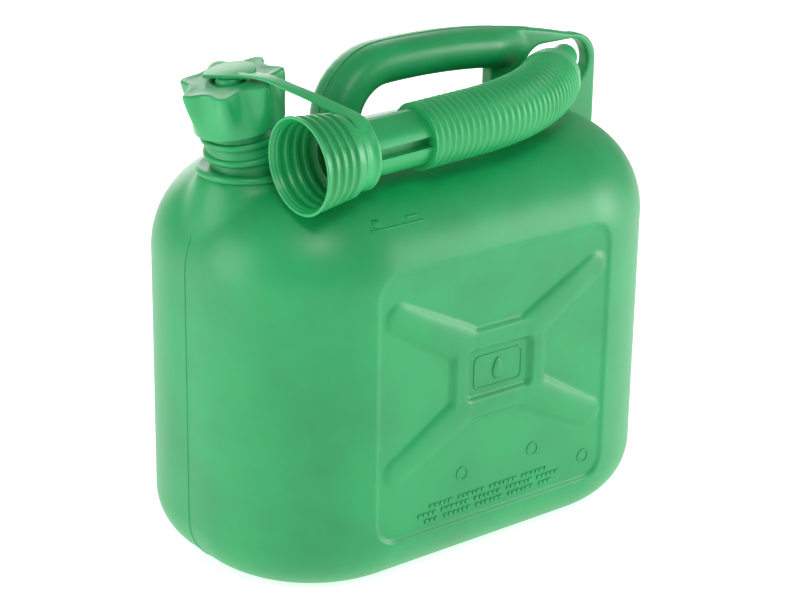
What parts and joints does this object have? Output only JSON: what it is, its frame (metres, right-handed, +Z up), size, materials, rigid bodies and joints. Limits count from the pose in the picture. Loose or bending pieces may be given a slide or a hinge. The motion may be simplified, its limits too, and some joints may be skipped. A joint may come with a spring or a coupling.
{
  "type": "fuel can",
  "caption": "Plastic fuel can with an integral carrying handle, a screw cap on a leaning neck, a tether and a flexible bellows spout stowed beside the handle.",
  "frame": {"origin": "on the floor under the middle of the tank", "axes": "X along the tank with the neck end at -X, the spout stowed on the -Y side, +Z up"},
  "size_m": [0.2594, 0.15, 0.2465],
  "materials": {
    "tank_plastic": "blow-moulded polyethylene, satin with a fine grain",
    "cap_plastic": "injection-moulded polyethylene, satin",
    "spout_plastic": "injection-moulded polyethylene, satin",
    "flexible_plastic": "soft low-density polyethylene, waxy",
    "liner_foam": "pressed foam, matt",
    "gasket_rubber": "soft moulded elastomer, matt"
  },
  "bodies": {
    "tank": {"tank_shell": "tank_plastic", "tank_neck": "tank_plastic", "tank_handle": "tank_plastic", "tether_strap": "flexible_plastic"},
    "cap_carrier": {"tether_eye": "flexible_plastic"},
    "cap": {"screw_cap": "cap_plastic", "cap_seal": "liner_foam"},
    "spout": {"spout_collar": "spout_plastic", "spout_gasket": "gasket_rubber", "spout_stem": "spout_plastic", "tether_ring": "flexible_plastic", "spout_bellows": "flexible_plastic"},
    "nozzle": {"spout_nozzle": "flexible_plastic"}
  },
  "joints": [
    {"name": "cap_turn", "type": "hinge", "parent": "cap_carrier", "child": "cap", "pos_m": [-0.0936, 0, 0.1985], "axis": [-0.225, 0, 0.9744], "range_deg": [0, 450]},
    {"name": "cap_lift", "type": "slide", "parent": "tank", "child": "cap_carrier", "axis": [-0.225, 0, 0.9744], "range_m": [0, 0.0101], "deforming": ["tether_strap"]},
    {"name": "spout_pull", "type": "slide", "parent": "tank", "child": "spout", "axis": [0, -1, 0], "range_m": [0, 0.025], "deforming": ["tether_strap"]},
    {"name": "spout_flex", "type": "hinge", "parent": "spout", "child": "nozzle", "pos_m": [0.0205, -0.049, 0.2165], "axis": [-0.0401, 0, 0.9992], "range_deg": [-75, 0], "deforming": ["spout_bellows"]}
  ],
  "couplings": [
    {"joint": "cap_lift", "follows": "cap_turn", "m_per_rad": 0.0012732}
  ]
}
